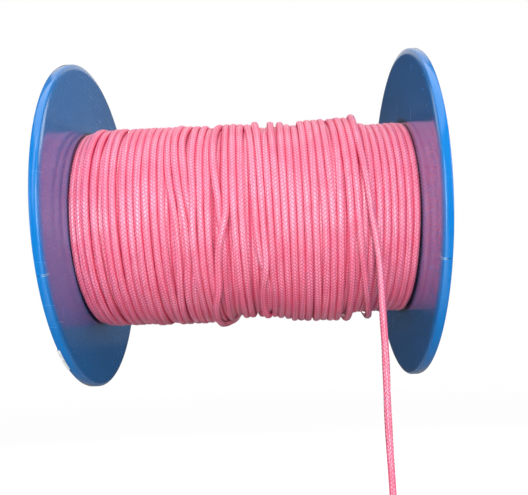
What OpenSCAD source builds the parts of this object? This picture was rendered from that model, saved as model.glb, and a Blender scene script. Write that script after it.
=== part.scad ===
// Fishing line spool: two moulded flanges pressed on a barrel, wound full of
// braided cord, with the loose end of the cord hanging off the front.
// The X axis is the spool's axis, +Z is up, the front is at -Y, and the
// origin is in the middle of the spindle bore.

/* [Flanges] */
// Outer diameter of each flange
flange_d = 150; // [130:1:180]
// Thickness of the flange's disc
web_t = 2.4; // [1.8:0.1:3]
// Width of the rim along the spool's axis
rim_w = 4; // [3.6:0.1:6]
// Thickness of the rim, measured towards the axis
rim_t = 2.6; // [2:0.1:5]
// Width of the rounded shoulder round the inner face
shoulder_w = 3.4; // [2:0.1:6]
// How far the shoulder falls back from the inner face
shoulder_drop = 1; // [0.5:0.1:1.6]
// Chamfer of the rim's outer corner
rim_chamfer = 0.4; // [0.2:0.1:0.8]
// Number of ribs on the outer side
rib_count = 8; // [5:1:12]
// Thickness of the ribs
rib_t = 1.6; // [1:0.1:3]
// How far the ribs stay below the rim's outer plane
rib_drop = 0.4; // [0:0.1:0.8]
// Width of the cord slit in the rim
slit_w = 0.8; // [0.6:0.1:3]
// Depth of the cord slit, from the rim towards the axis
slit_depth = 3.6; // [3:0.2:12]
// Place of the cord slits, in degrees from the top over the front
slit_angle = 112; // [0:1:180]

/* [Hub and barrel] */
// Distance between the inner faces of the flanges
traverse = 145; // [120:1:180]
// Outer diameter of the barrel
barrel_d = 63; // [50:1:70]
// Wall of the barrel
barrel_wall = 2.5; // [2:0.1:4]
// Diameter of the spindle bore
bore_d = 22; // [14:0.5:28]
// Wall of the hub round the bore
hub_wall = 4; // [3:0.5:6]
// Length of the spigot that fits in the barrel
spigot_len = 12; // [8:1:25]
// Wall of the spigot
spigot_wall = 2.2; // [1.6:0.1:3]
// Clearance between the spigot and the barrel, all round
spigot_clearance = 0.1; // [0.05:0.05:0.3]
// Number of gussets between the hub and the spigot
gusset_count = 4; // [3:1:8]

/* [Cord] */
// Diameter of the cord
cord_d = 3; // [2:0.1:3.4]
// Distance from one turn to the next
turn_pitch = 3.35; // [3:0.05:5]
// Number of layers of cord
layers = 6; // [3:1:8]
// How much each layer adds to the winding's radius
layer_rise = 2.4; // [2:0.1:3]
// Place along the axis where the loose end leaves the winding
take_off_x = 51.5; // [30:0.1:58]
// Side step of the last turn, besides its pitch
end_slant = 1.6; // [1:0.1:6]
// How far the slack last turn swings aside under the spool
end_swing = 6; // [0:0.5:8]
// How far the last turn is raised over its layer
end_lift = 1.4; // [1.4:0.1:3]
// Gap that a soft piece keeps from its neighbours
soft_gap = 0.3; // [0.2:0.05:0.6]

/* [Paper] */
// Thickness of the label and of the tape
paper_t = 0.2; // [0.1:0.05:0.25]
// Gap under the label and the tape
paper_gap = 0.05; // [0.03:0.01:0.1]
// Where the label starts, in degrees from the top over the front
label_angle = 138.5; // [0:0.5:180]
// Width of the label, in degrees round the flange
label_sweep = 10.5; // [5:0.5:40]
// How far the label reaches from the rim towards the axis
label_reach = 18; // [8:0.5:30]
// How far the label is turned over the rim's edge
label_fold = 1.1; // [0.5:0.1:3]
// Width of the tape that holds the cord's inner end
tape_w = 18; // [10:1:30]
// Length of the tape, in degrees round the barrel
tape_sweep = 80; // [30:5:180]

/* [Hidden] */
$fn = 96;

flange_r = flange_d / 2;
rim_inner_r = flange_r - rim_t;
inner_face_x = traverse / 2;
barrel_r = barrel_d / 2;
bore_r = bore_d / 2;
hub_r = bore_r + hub_wall;
spigot_r = barrel_r - barrel_wall - spigot_clearance;
rib_h = rim_w - web_t - rib_drop;
// Pieces of one moulding reach this far into each other
merge = 0.3;
shoulder_steps = 4;

// Radii of the winding: its crest, the crest of the layer below, and the
// centre of the cord in the top layer
winding_r = barrel_r + cord_d + (layers - 1) * layer_rise;
lower_r = winding_r - layer_rise;
wound_r = winding_r - cord_d / 2;

// The loops of the top layer, counted back from the take-off
loops = 24;
rings_per_loop = 24;
winding_sides = 6;
// Where the last turn swings aside, in turns before the take-off, and the
// turns on each side of it over which it does so
swing_at = 0.7;
swing_turns = 0.35;
// Turns before the take-off at which the cord starts to rise out of its
// layer, and the turns over which it rises
lift_at = 1.15;
lift_turns = 0.35;
// A chord between two rings comes this much nearer the axis than its ends
chord_r = wound_r * cos(180 / rings_per_loop);
bed_r = chord_r - cord_d / 2 - soft_gap;
regular_end_x = take_off_x - end_slant;
first_turn_x = regular_end_x - loops * turn_pitch;
turn_gap = 0.5;

// The loose end, as steps from where the winding's straight end stops
free_sides = 8;
free_ring_step = 8;
free_route = [
    [0, 0, 0], [0, 0, -3], [0.5, 0, -6], [1.2, 0, -10], [1.8, 0, -15],
    [2.3, 0, -20], [2.6, 0, -26], [2.7, 0, -34], [2.7, 0, -44], [2.9, 0, -54],
    [2.9, 0, -66], [2.7, 0, -78], [2.7, 0, -90], [2.9, 0, -102], [3.2, 0, -114],
    [3.3, 0, -127], [3.3, 0, -130],
];

// Turns what stands round the Z axis to stand round the spool's axis
module about_x() rotate([0, 90, 0]) children();

// ---- Flanges ------------------------------------------------------------

// The disc with its rim. The profile is given as radius and distance out
// from the inner face, with the shoulder as a quarter of an ellipse.
module flange_disc() {
    shoulder = [for (i = [0:shoulder_steps])
        let (a = 90 * i / shoulder_steps)
        [flange_r - shoulder_w * (1 - sin(a)), shoulder_drop * (1 - cos(a))]];
    profile = concat(
        [[bore_r, web_t], [bore_r, 0]],
        shoulder,
        [[flange_r, rim_w - rim_chamfer],
         [flange_r - rim_chamfer, rim_w],
         [rim_inner_r, rim_w],
         [rim_inner_r, web_t]]
    );
    about_x() rotate_extrude() polygon(profile);
}

// A tube round the spool's axis, from one place along it to another
module tube(inner, outer, from, to) {
    translate([from, 0, 0]) about_x() difference() {
        cylinder(r = outer, h = to - from);
        translate([0, 0, -1]) cylinder(r = inner, h = to - from + 2);
    }
}

module flange_ribs() {
    for (i = [0:rib_count - 1])
        rotate([360 * (i + 0.5) / rib_count, 0, 0])
        translate([web_t - merge, -rib_t / 2, hub_r - merge])
        cube([rib_h + merge, rib_t, rim_inner_r - hub_r + 2 * merge]);
}

module hub_gussets() {
    for (i = [0:gusset_count - 1])
        rotate([360 * i / gusset_count, 0, 0])
        translate([-spigot_len / 2, -rib_t / 2, hub_r - merge])
        cube([spigot_len / 2 + merge, rib_t, spigot_r - spigot_wall - hub_r + 2 * merge]);
}

module cord_slit() {
    rotate([slit_angle, 0, 0])
    translate([-1, -slit_w / 2, flange_r - slit_depth])
    cube([rim_w + 2, slit_w, slit_depth + 1]);
}

// One flange, with its inner face at x = 0 and its outer side towards +X
module flange() {
    difference() {
        union() {
            flange_disc();
            flange_ribs();
            tube(barrel_r - rib_t, barrel_r, web_t - merge, web_t + rib_h);
            tube(bore_r, hub_r, -spigot_len, rim_w);
            tube(spigot_r - spigot_wall, spigot_r, -spigot_len, merge);
            hub_gussets();
        }
        cord_slit();
    }
}

module right_flange() {
    color([0.02, 0.43, 0.79]) translate([inner_face_x, 0, 0]) flange();
}

module left_flange() {
    color([0.02, 0.43, 0.79]) mirror([1, 0, 0]) translate([inner_face_x, 0, 0]) flange();
}

// ---- Barrel and tape ----------------------------------------------------

module barrel() {
    color([0.05, 0.36, 0.68])
    tube(barrel_r - barrel_wall, barrel_r, -inner_face_x, inner_face_x);
}

// Half a millimetre clear of the left flange, under the first layer
module start_tape() {
    color([0.86, 0.8, 0.62])
    translate([-inner_face_x + turn_gap, 0, 0]) about_x()
    rotate_extrude(angle = tape_sweep)
    translate([barrel_r + paper_gap, 0]) square([paper_t, tape_w]);
}

// ---- Cord ---------------------------------------------------------------

function smooth(t) = t <= 0 ? 0 : t >= 1 ? 1 : t * t * (3 - 2 * t);
function bell(t) = abs(t) >= 1 ? 0 : (1 + cos(180 * t)) / 2;
function unit(v) = v / norm(v);
// A point at an angle from the top over the front, round the spool's axis
function around(x, r, angle) = [x, -r * sin(angle), r * cos(angle)];

// The corners of one ring of a tube: centre, direction, outward side
function ring(centre, along, outward, sides) =
    let (side = unit(cross(along, outward)), up = unit(cross(side, along)))
    [for (k = [0:sides - 1])
        centre + cord_d / 2 * (cos(360 * k / sides) * up + sin(360 * k / sides) * side)];

// The rings of a tube through a row of centres, each square to its course.
// The end rings look along their own stretch, so a straight end is square.
function tube_rings(centres, outwards, sides) =
    let (last = len(centres) - 1)
    [for (i = [0:last])
        let (ahead = centres[min(i + 1, last)], behind = centres[max(i - 1, 0)])
        ring(centres[i], unit(ahead - behind), outwards[i], sides)];

// The solid of a tube from its rings, all faces triangles
module ring_solid(rings, sides) {
    last = len(rings) - 1;
    points = [for (r = rings) for (p = r) p];
    walls = [for (i = [0:last - 1]) for (k = [0:sides - 1])
        let (a = i * sides + k, b = i * sides + (k + 1) % sides)
        each [[a, b, b + sides], [a, b + sides, a + sides]]];
    end = last * sides;
    start_cap = [for (k = [1:sides - 2]) [0, k + 1, k]];
    end_cap = [for (k = [1:sides - 2]) [end, end + k, end + k + 1]];
    polyhedron(points, concat(walls, start_cap, end_cap), convexity = 10);
}

// The course of the top layer. back is the number of turns before the
// take-off, which is at the front, level with the axis.
function turn_x(back) =
    take_off_x - turn_pitch * back - end_slant * smooth(back)
    + end_swing * bell((back - swing_at) / swing_turns);
function turn_r(back) = wound_r + end_lift * smooth((lift_at - back) / lift_turns);
function turn_angle(back) = 90 - 360 * back;
function turn_point(back) = around(turn_x(back), turn_r(back), turn_angle(back));

winding_backs = [for (i = [loops * rings_per_loop:-1:0]) i / rings_per_loop];
winding_course = [for (back = winding_backs) turn_point(back)];
winding_outwards = [for (back = winding_backs) around(0, 1, turn_angle(back))];
take_off_point = turn_point(0);
// Both ends run straight for one diameter, the last one straight down
start_point = winding_course[0]
    - cord_d * unit(winding_course[1] - winding_course[0]);
end_point = take_off_point - [0, 0, cord_d];
winding_centres = concat([start_point], winding_course, [end_point]);
winding_rings = tube_rings(
    winding_centres,
    concat([winding_outwards[0]], winding_outwards, [[0, -1, 0]]),
    winding_sides
);

// The least distance from any corner of a ring to those of the next turn
self_gap = min([for (i = [0:len(winding_rings) - rings_per_loop - 2])
    for (j = [i + rings_per_loop - 1:i + rings_per_loop + 1])
    for (p = winding_rings[i]) for (q = winding_rings[j]) norm(p - q)]);
echo(winding_least_gap_mm = self_gap);
echo(top_layer_crest_radius_mm = winding_r);
turns_per_layer = traverse / turn_pitch;
echo(cord_length_m = 2 * PI * turns_per_layer / 1000 * layers
    * (barrel_r + cord_d / 2 + (layers - 1) * layer_rise / 2));

module cord_winding() {
    color([1, 0.5, 0.62]) ring_solid(winding_rings, winding_sides);
}

// The loose end hangs from where the winding's straight end stops
free_centres = [for (i = [0:len(free_route) - 2])
    let (a = free_route[i], b = free_route[i + 1])
    let (count = max(1, round(norm(b - a) / free_ring_step)))
    for (k = [0:count - 1]) end_point + a + (b - a) * k / count];
free_course = concat(free_centres, [end_point + free_route[len(free_route) - 1]]);

module cord_free_end() {
    color([1, 0.5, 0.62])
    ring_solid(
        tube_rings(free_course, [for (p = free_course) [0, -1, 0]], free_sides),
        free_sides
    );
}

// The inner layers, bored for the barrel: full height up to the first of
// the loops, a bed under them, and the layer below past the last one
module winding_core() {
    left_x = -inner_face_x + soft_gap;
    bed_left_x = first_turn_x - cord_d / 2 - turn_gap;
    bed_right_x = regular_end_x + cord_d / 2 + turn_gap;
    right_x = inner_face_x - soft_gap;
    inner_r = barrel_r + soft_gap;
    color([0.93, 0.38, 0.5]) about_x() rotate_extrude() polygon([
        [inner_r, left_x], [winding_r, left_x],
        [winding_r, bed_left_x], [bed_r, bed_left_x],
        [bed_r, bed_right_x], [lower_r, bed_right_x],
        [lower_r, right_x], [inner_r, right_x],
    ]);
}

// ---- Label --------------------------------------------------------------

// Stuck on the left flange's disc, up its rim, across the rim's outer plane
// and over the edge. The profile is radius and distance out from the inner
// face, as the line of the paper's underside and then its upper side.
module paper_label() {
    web_x = web_t + paper_gap;
    rim_x = rim_w + paper_gap;
    step_r = rim_inner_r - paper_gap;
    edge_r = flange_r + paper_gap;
    profile = [
        [flange_r - label_reach, web_x], [step_r, web_x], [step_r, rim_x],
        [edge_r, rim_x], [edge_r, rim_w - label_fold],
        [edge_r + paper_t, rim_w - label_fold], [edge_r + paper_t, rim_x + paper_t],
        [step_r - paper_t, rim_x + paper_t], [step_r - paper_t, web_x + paper_t],
        [flange_r - label_reach, web_x + paper_t],
    ];
    color([0.9, 0.9, 0.88]) mirror([1, 0, 0]) translate([inner_face_x, 0, 0])
    rotate([label_angle + 180, 0, 0]) about_x()
    rotate_extrude(angle = label_sweep) polygon(profile);
}

left_flange();
right_flange();
barrel();
start_tape();
winding_core();
cord_winding();
cord_free_end();
paper_label();
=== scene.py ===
"""A full spool of pink braided line: the looks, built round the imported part.

The X axis is the spool's axis, +Z is up and the front is at -Y, in metres. Angles round the
axis run from the top over the front, in degrees, as the cord is wound.
"""
from math import cos, pi, radians, sin, sqrt

import bmesh
import bpy
import numpy as np
from mathutils import Euler, Matrix, Vector


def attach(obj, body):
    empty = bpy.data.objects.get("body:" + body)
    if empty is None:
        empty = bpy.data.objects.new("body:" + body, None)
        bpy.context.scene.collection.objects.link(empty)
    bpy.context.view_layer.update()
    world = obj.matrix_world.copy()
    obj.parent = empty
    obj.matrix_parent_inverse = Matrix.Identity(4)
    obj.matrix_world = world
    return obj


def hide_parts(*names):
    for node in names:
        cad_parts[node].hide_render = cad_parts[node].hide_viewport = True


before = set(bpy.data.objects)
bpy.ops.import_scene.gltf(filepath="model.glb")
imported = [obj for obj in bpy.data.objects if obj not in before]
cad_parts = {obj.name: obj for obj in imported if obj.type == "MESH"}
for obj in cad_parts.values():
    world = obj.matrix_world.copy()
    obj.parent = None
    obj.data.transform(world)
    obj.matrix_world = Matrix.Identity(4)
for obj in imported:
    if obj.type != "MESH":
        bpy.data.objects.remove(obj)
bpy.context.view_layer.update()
MM = 0.001

# ---- Barrel -----------------------------------------------------------------------------
# A plain tube of the same plastic as the flanges, cut to length and pressed on their
# spigots. It is matte from the extruder, with fine rings round it. Only its inside shows,
# through the spindle bore.

BARREL_BLUE = (0.004, 0.105, 0.40, 1)
BARREL_FADED = (0.006, 0.1575, 0.60, 1)
BARREL_DUST = (0.5, 0.55, 0.6, 1)
BARREL_CLOUDS = 60.0
BARREL_ROUGH = (0.5, 0.62)
BARREL_SCRATCHES = 0.5
RING_STRETCH = (2600.0, 30.0, 30.0)
RING_DEPTH = 0.06
RING_STRENGTH = 0.5

# Marks of handling. Here and in the other materials a pattern has so many features to the
# metre, and the edge of a mask is the part of the pattern's range over which it comes up.
NOISE_SPREAD = (0.3, 0.7)
SPECK_CELLS = 170.0
SPECK_SIZES = 420.0
SPECK_LARGEST = 0.12
SPECKS_OVER = 0.72
HAIRLINES = ((25.0, (60.0, 1300.0, 60.0)), (-38.0, (50.0, 70.0, 1500.0)))
HAIRLINE_EDGE = (0.735, 0.76)
HAZE_CLOUDS = 38.0
HAZE_EDGE = (0.35, 0.7)


def add_node(tree, kind, inputs=None, **settings):
    """Adds a shader node. Inputs are values or the outputs of other nodes."""
    made = tree.nodes.new(kind)
    for name, value in settings.items():
        setattr(made, name, value)
    for name, value in (inputs or {}).items():
        if isinstance(value, bpy.types.NodeSocket):
            tree.links.new(value, made.inputs[name])
        else:
            made.inputs[name].default_value = value
    return made


def maths(tree, operation, *values, clamp=False):
    """One Math node's output."""
    made = add_node(
        tree, "ShaderNodeMath", dict(enumerate(values)), operation=operation, use_clamp=clamp
    )
    return made.outputs[0]


def times(tree, first, second):
    return maths(tree, "MULTIPLY", first, second)


def span(tree, value, low, high, to_low=0.0, to_high=1.0):
    """Maps low..high smoothly to to_low..to_high."""
    made = add_node(
        tree, "ShaderNodeMapRange",
        {"Value": value, "From Min": low, "From Max": high, "To Min": to_low, "To Max": to_high},
        interpolation_type="SMOOTHSTEP",
    )
    return made.outputs["Result"]


def blended(tree, factor, first, second):
    """A mix of two colours. The node keeps its colour sockets after those of other kinds."""
    made = add_node(tree, "ShaderNodeMix", {0: factor, 6: first, 7: second}, data_type="RGBA")
    return made.outputs[2]


def noise(tree, vector, scale, detail=3.0, roughness=0.55):
    made = add_node(
        tree, "ShaderNodeTexNoise",
        {"Vector": vector, "Scale": scale, "Detail": detail, "Roughness": roughness},
    )
    return made.outputs["Fac"]


def stretched(tree, point, scale, turn=0.0):
    """The point turned about X, in degrees, and scaled, which draws a pattern out one way."""
    made = add_node(
        tree, "ShaderNodeMapping",
        {"Vector": point, "Rotation": (radians(turn), 0, 0), "Scale": scale},
    )
    return made.outputs["Vector"]


def bumped(tree, height, depth, strength=1.0):
    """The normal that a pattern of heights gives a surface, its depth in millimetres."""
    made = add_node(
        tree, "ShaderNodeBump", {"Strength": strength, "Distance": depth * MM, "Height": height}
    )
    return made.outputs["Normal"]


def wire(tree, node, **sockets):
    """Links outputs to a node's sockets."""
    for label, value in sockets.items():
        tree.links.new(value, node.inputs[label.replace("_", " ")])


def new_group(name, inputs, outputs):
    """An empty shader node group, with its input and output nodes."""
    tree = bpy.data.node_groups.new(name, "ShaderNodeTree")
    for label, kind in inputs.items():
        tree.interface.new_socket(label, in_out="INPUT", socket_type=kind)
    for label, kind in outputs.items():
        tree.interface.new_socket(label, in_out="OUTPUT", socket_type=kind)
    return tree, tree.nodes.new("NodeGroupInput"), tree.nodes.new("NodeGroupOutput")


def new_material(name, **shader):
    """A material with a bare Principled shader, whose plain sockets are set here."""
    made = bpy.data.materials.new(name)
    made.use_nodes = True
    principled = made.node_tree.nodes["Principled BSDF"]
    for label, value in shader.items():
        principled.inputs[label.replace("_", " ")].default_value = value
    return made, made.node_tree, principled


def object_point(tree):
    return add_node(tree, "ShaderNodeTexCoord").outputs["Object"]


def wear_finish():
    """Marks of handling on moulded plastic: dust specks, hair scratches and cloudy haze."""
    tree, given, ends = new_group(
        "handling_marks",
        {"Point": "NodeSocketVector", "Scratches": "NodeSocketFloat"},
        {"Specks": "NodeSocketFloat", "Hairlines": "NodeSocketFloat", "Haze": "NodeSocketFloat"},
    )
    point = given.outputs["Point"]
    cells = add_node(
        tree, "ShaderNodeTexVoronoi", {"Vector": point, "Scale": SPECK_CELLS, "Randomness": 1.0}
    )
    reach = times(tree, noise(tree, point, SPECK_SIZES, detail=1.0), SPECK_LARGEST)
    near = maths(tree, "LESS_THAN", cells.outputs["Distance"], reach)
    chosen = add_node(tree, "ShaderNodeSeparateColor", {"Color": cells.outputs["Color"]})
    lines = None
    for turn, stretch in HAIRLINES:
        streak = noise(tree, stretched(tree, point, stretch, turn), 1.0, detail=2.0, roughness=0.4)
        thin = span(tree, streak, *HAIRLINE_EDGE)
        lines = thin if lines is None else maths(tree, "MAXIMUM", lines, thin)
    wire(
        tree, ends,
        Specks=times(tree, near, maths(tree, "GREATER_THAN", chosen.outputs["Red"], SPECKS_OVER)),
        Hairlines=times(tree, lines, given.outputs["Scratches"]),
        Haze=span(tree, noise(tree, point, HAZE_CLOUDS, detail=4.0), *HAZE_EDGE),
    )
    return tree


handling_marks = wear_finish()


def marked(tree, point, scratches):
    """The marks of handling, placed in a material."""
    return add_node(
        tree, "ShaderNodeGroup", {"Point": point, "Scratches": scratches}, node_tree=handling_marks
    ).outputs


def extruded_plastic():
    made, tree, shader = new_material("extruded_blue_plastic", IOR=1.5)
    point = object_point(tree)
    marks = marked(tree, point, BARREL_SCRATCHES)
    rings = noise(tree, stretched(tree, point, RING_STRETCH), 1.0, detail=2.0)
    cloudy = noise(tree, point, BARREL_CLOUDS)
    colour = blended(tree, cloudy, BARREL_BLUE, BARREL_FADED)
    wire(
        tree, shader,
        Base_Color=blended(tree, marks["Specks"], colour, BARREL_DUST),
        Roughness=span(tree, cloudy, *NOISE_SPREAD, *BARREL_ROUGH),
        Normal=bumped(tree, rings, RING_DEPTH, RING_STRENGTH),
    )
    return made


def dress(piece, material):
    """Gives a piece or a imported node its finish."""
    piece.data.materials.clear()
    piece.data.materials.append(material)


dress(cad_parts["barrel"], extruded_plastic())

# ---- Tape -------------------------------------------------------------------------------
# A strip of creped paper tape that holds the cord's inner end on the barrel. It is buried
# under six layers of cord.

TAPE_BUFF = (0.62, 0.50, 0.28, 1)
TAPE_PALE = (0.70, 0.60, 0.38, 1)
TAPE_STAINS = 90.0
TAPE_ROUGH = (0.65, 0.85)
CREPE_STRETCH = (150.0, 900.0, 900.0)
CREPE_DEPTH = 0.1
CREPE_STRENGTH = 0.8


def creped_tape():
    made, tree, shader = new_material("creped_paper_tape", IOR=1.45)
    point = object_point(tree)
    crepe = noise(tree, stretched(tree, point, CREPE_STRETCH), 1.0, detail=4.0)
    wire(
        tree, shader,
        Base_Color=blended(tree, noise(tree, point, TAPE_STAINS), TAPE_BUFF, TAPE_PALE),
        Roughness=span(tree, crepe, *NOISE_SPREAD, *TAPE_ROUGH),
        Normal=bumped(tree, crepe, CREPE_DEPTH, CREPE_STRENGTH),
    )
    return made


dress(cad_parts["start_tape"], creped_tape())

# ---- Flanges ----------------------------------------------------------------------------
# Two equal injection mouldings in glossy azure plastic, pressed in the barrel's ends: discs
# with a rounded shoulder, a deep rim, ribs and a ring on the outer side, a hub round the
# spindle bore, a spigot for the barrel, and a slit in the rim for the cord's end.

# The sizes, in millimetres, repeat those of the solids. The slit alone is narrower here.
INNER_FACE_X = 72.5
FLANGE_R = 75.0
WEB_T = 2.4
RIM_W = 4.0
RIM_T = 2.6
SHOULDER_W = 3.4
SHOULDER_DROP = 1.0
SHOULDER_STEPS = 10
BORE_R = 11.0
HUB_R = 15.0
BARREL_R = 31.5
SPIGOT_LEN = 12.0
SPIGOT_R = 28.9
SPIGOT_WALL = 2.2
RIB_COUNT = 8
RIB_T = 1.6
RIB_H = 1.2
RIB_SUNK = 0.5
RIB_ENDS_SUNK = 0.6
GUSSET_COUNT = 4
SLIT_W = 0.25
SLIT_DEPTH = 3.6
SLIT_ANGLE = 112.0
SLIT_PAST = 1
FLANGE_STEPS = 192
EDGE_ROUND = 0.3
CORNER_CUT = 0.6
SHARP_FROM = 32

AZURE_DEEP = (0.00176, 0.12496, 0.3784, 1)
AZURE_LIGHT = (0.0022, 0.1562, 0.473, 1)
AZURE_WORN = (0.05, 0.32, 0.70, 1)
# Painted shade on the inner face where the winding meets it
AZURE_CORD_SHADE = (0.004, 0.03, 0.08, 1)
AZURE_DUSTY = (0.25, 0.40, 0.60, 1)
AZURE_SPECK = (0.42, 0.6, 0.8, 1)
# Painted highlight at the foot of the slit
SLIT_HIGHLIGHT = (0.40, 0.62, 0.80, 1)
AZURE_ROUGH = (0.13, 0.19)
TONE_CLOUDS = 14.0
RIPPLES = 48.0
RIPPLE_DEPTH = 0.05

# Wear on the rim's outer corner, painted shade where the cord meets the face, dust on the face
# alone, a painted highlight at the slit's foot, and scratches: places in millimetres, and shares
# of one
CORNER_WORN_DOWN = 0.9
CORNER_WORN_ACROSS = 0.6
WORN_PATCHES = 55.0
WORN_EDGE = (0.45, 0.72)
WORN_SHARE = 0.4
WORN_DULLS = 0.1
CORD_SHADE_TO = 44.8
CORD_SHADE_FADES = 1.5
CORD_SHADE_DEEP = 0.2
DUST_GRAINS = 1500.0
DUST_EDGE = (0.42, 0.7)
DUST_STOPS = (0.1, 1.0)
DUST_SHARE = 0.16
LIP_WIDE = (0.3, 0.5)
LIP_DEEP = (1.0, 2.4)
LIP_FADES = 0.5
SLIT_HIGHLIGHT_SHARE = 0.5
SCRATCH_SHARE = 0.25
SCRATCH_DULLS = 0.2
SCRATCH_DEPTH = 0.12
SPECK_SHARE = 0.5


def around(x, radius, angle):
    """A point in millimetres at an angle from the top over the front."""
    return Vector((x, -radius * sin(radians(angle)), radius * cos(radians(angle))))


def mesh_object(name, shape, smooth_under=None):
    """Turns a bmesh in millimetres into an object in metres."""
    bmesh.ops.scale(shape, vec=(MM, MM, MM), verts=shape.verts)
    mesh = bpy.data.meshes.new(name)
    shape.to_mesh(mesh)
    shape.free()
    if smooth_under is not None:
        mesh.shade_smooth()
        mesh.set_sharp_from_angle(angle=radians(smooth_under))
    made = bpy.data.objects.new(name, mesh)
    bpy.context.scene.collection.objects.link(made)
    return made


def spun(outline, steps, sweep=360.0, first_angle=0.0):
    """A bmesh from an outline of (distance along the axis, radius) turned about the axis."""
    shape = bmesh.new()
    corners = [shape.verts.new(around(x, radius, first_angle)) for x, radius in outline]
    edges = [shape.edges.new(pair) for pair in zip(corners, corners[1:] + corners[:1])]
    whole = sweep == 360.0
    profile = corners + edges if whole else [shape.faces.new(corners)] + corners + edges
    bmesh.ops.spin(
        shape, geom=profile, cent=(0, 0, 0), axis=(1, 0, 0), angle=radians(sweep),
        steps=steps, use_merge=whole, use_duplicate=False,
    )
    bmesh.ops.remove_doubles(shape, verts=shape.verts, dist=1e-5)
    bmesh.ops.recalc_face_normals(shape, faces=shape.faces)
    return shape


def bevelled_block(low, high, offset):
    """A block between two corners, its edges rounded."""
    shape = bmesh.new()
    size = Vector(high) - Vector(low)
    place = Matrix.Translation((Vector(high) + Vector(low)) / 2) @ Matrix.Diagonal((*size, 1))
    bmesh.ops.create_cube(shape, size=1.0, matrix=place)
    if offset:
        bmesh.ops.bevel(
            shape, geom=shape.edges[:], offset=offset, affect="EDGES", segments=2,
            profile=0.5, material=-1,
        )
    return shape


def turned(shape, angle):
    """Turns a bmesh about the spool's axis, from the top over the front."""
    turn = Matrix.Rotation(radians(angle), 3, "X")
    bmesh.ops.rotate(shape, cent=(0, 0, 0), matrix=turn, verts=shape.verts)
    return shape


def combined(base, tools, operation):
    """Applies exact booleans with the tools, and removes the tools."""
    for tool in tools:
        step = base.modifiers.new(operation.lower(), "BOOLEAN")
        step.operation = operation
        step.solver = "EXACT"
        step.object = tool
    graph = bpy.context.evaluated_depsgraph_get()
    mesh = bpy.data.meshes.new_from_object(base.evaluated_get(graph))
    base.modifiers.clear()
    old = base.data
    base.data = mesh
    mesh.name = base.name
    bpy.data.meshes.remove(old)
    for tool in tools:
        bpy.data.meshes.remove(tool.data)
    return base


def flange_outline():
    """The turned section, from the bore's inner end round by the outer side."""
    shoulder = [
        (SHOULDER_DROP * (1 - cos(step * pi / 2 / SHOULDER_STEPS)),
         FLANGE_R - SHOULDER_W * (1 - sin(step * pi / 2 / SHOULDER_STEPS)))
        for step in range(SHOULDER_STEPS, -1, -1)
    ]
    rib_x = WEB_T + RIB_H
    lip = EDGE_ROUND
    return [
        (-SPIGOT_LEN, BORE_R + lip), (lip - SPIGOT_LEN, BORE_R), (RIM_W - lip, BORE_R),
        (RIM_W, BORE_R + lip), (RIM_W, HUB_R - lip), (RIM_W - lip, HUB_R), (WEB_T + lip, HUB_R),
        (WEB_T, HUB_R + lip), (WEB_T, BARREL_R - RIB_T - lip), (WEB_T + lip, BARREL_R - RIB_T),
        (rib_x - lip, BARREL_R - RIB_T), (rib_x, BARREL_R - RIB_T + lip), (rib_x, BARREL_R - lip),
        (rib_x - lip, BARREL_R), (WEB_T + lip, BARREL_R), (WEB_T, BARREL_R + lip),
        (WEB_T, FLANGE_R - RIM_T - 2 * lip), (WEB_T + 2 * lip, FLANGE_R - RIM_T),
        (RIM_W - lip, FLANGE_R - RIM_T), (RIM_W, FLANGE_R - RIM_T + lip),
        (RIM_W, FLANGE_R - 2 * lip), (RIM_W - CORNER_CUT * lip, FLANGE_R - CORNER_CUT * lip),
        (RIM_W - 2 * lip, FLANGE_R),
        *shoulder, (0, FLANGE_R - SLIT_DEPTH - lip),
        (0, SPIGOT_R), (lip - SPIGOT_LEN, SPIGOT_R), (-SPIGOT_LEN, SPIGOT_R - lip),
        (-SPIGOT_LEN, SPIGOT_R - SPIGOT_WALL), (0, SPIGOT_R - SPIGOT_WALL), (0, HUB_R),
        (-SPIGOT_LEN, HUB_R),
    ]


def ribs_round(name, count, first, low, high):
    """Equal ribs round the axis, between low and high corners of (x, radius)."""
    return [
        mesh_object(name, turned(bevelled_block(
            (low[0], -RIB_T / 2, low[1]), (high[0], RIB_T / 2, high[1]), EDGE_ROUND,
        ), 360 * (index + first) / count))
        for index in range(count)
    ]


def moulded_flange(name, side):
    """One flange, with its outer side towards side times +X."""
    disc = mesh_object(name, spun(flange_outline(), FLANGE_STEPS))
    ribs = ribs_round(
        "rib", RIB_COUNT, 0.5,
        (WEB_T - RIB_SUNK, HUB_R - RIB_ENDS_SUNK),
        (WEB_T + RIB_H, FLANGE_R - RIM_T + RIB_ENDS_SUNK),
    )
    gussets = ribs_round(
        "gusset", GUSSET_COUNT, 0,
        (-SPIGOT_LEN / 2, HUB_R - RIB_SUNK),
        (RIB_SUNK, SPIGOT_R - SPIGOT_WALL + RIB_SUNK),
    )
    slit = mesh_object("slit", turned(bevelled_block(
        (-SLIT_PAST, -SLIT_W / 2, FLANGE_R - SLIT_DEPTH),
        (RIM_W + SLIT_PAST, SLIT_W / 2, FLANGE_R + SLIT_PAST), 0,
    ), SLIT_ANGLE))
    combined(disc, ribs + gussets, "UNION")
    combined(disc, [slit], "DIFFERENCE")
    shape = bmesh.new()
    shape.from_mesh(disc.data)
    bmesh.ops.translate(shape, vec=(INNER_FACE_X * MM, 0, 0), verts=shape.verts)
    if side < 0:
        bmesh.ops.scale(shape, vec=(-1, 1, 1), verts=shape.verts)
        bmesh.ops.reverse_faces(shape, faces=shape.faces)
    shape.to_mesh(disc.data)
    shape.free()
    disc.data.shade_smooth()
    disc.data.set_sharp_from_angle(angle=radians(SHARP_FROM))
    return disc


def over(tree, distance, low, high, to_low=0.0, to_high=1.0):
    """Maps a distance from low..high in millimetres smoothly to to_low..to_high."""
    return span(tree, distance, low * MM, high * MM, to_low, to_high)


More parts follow.
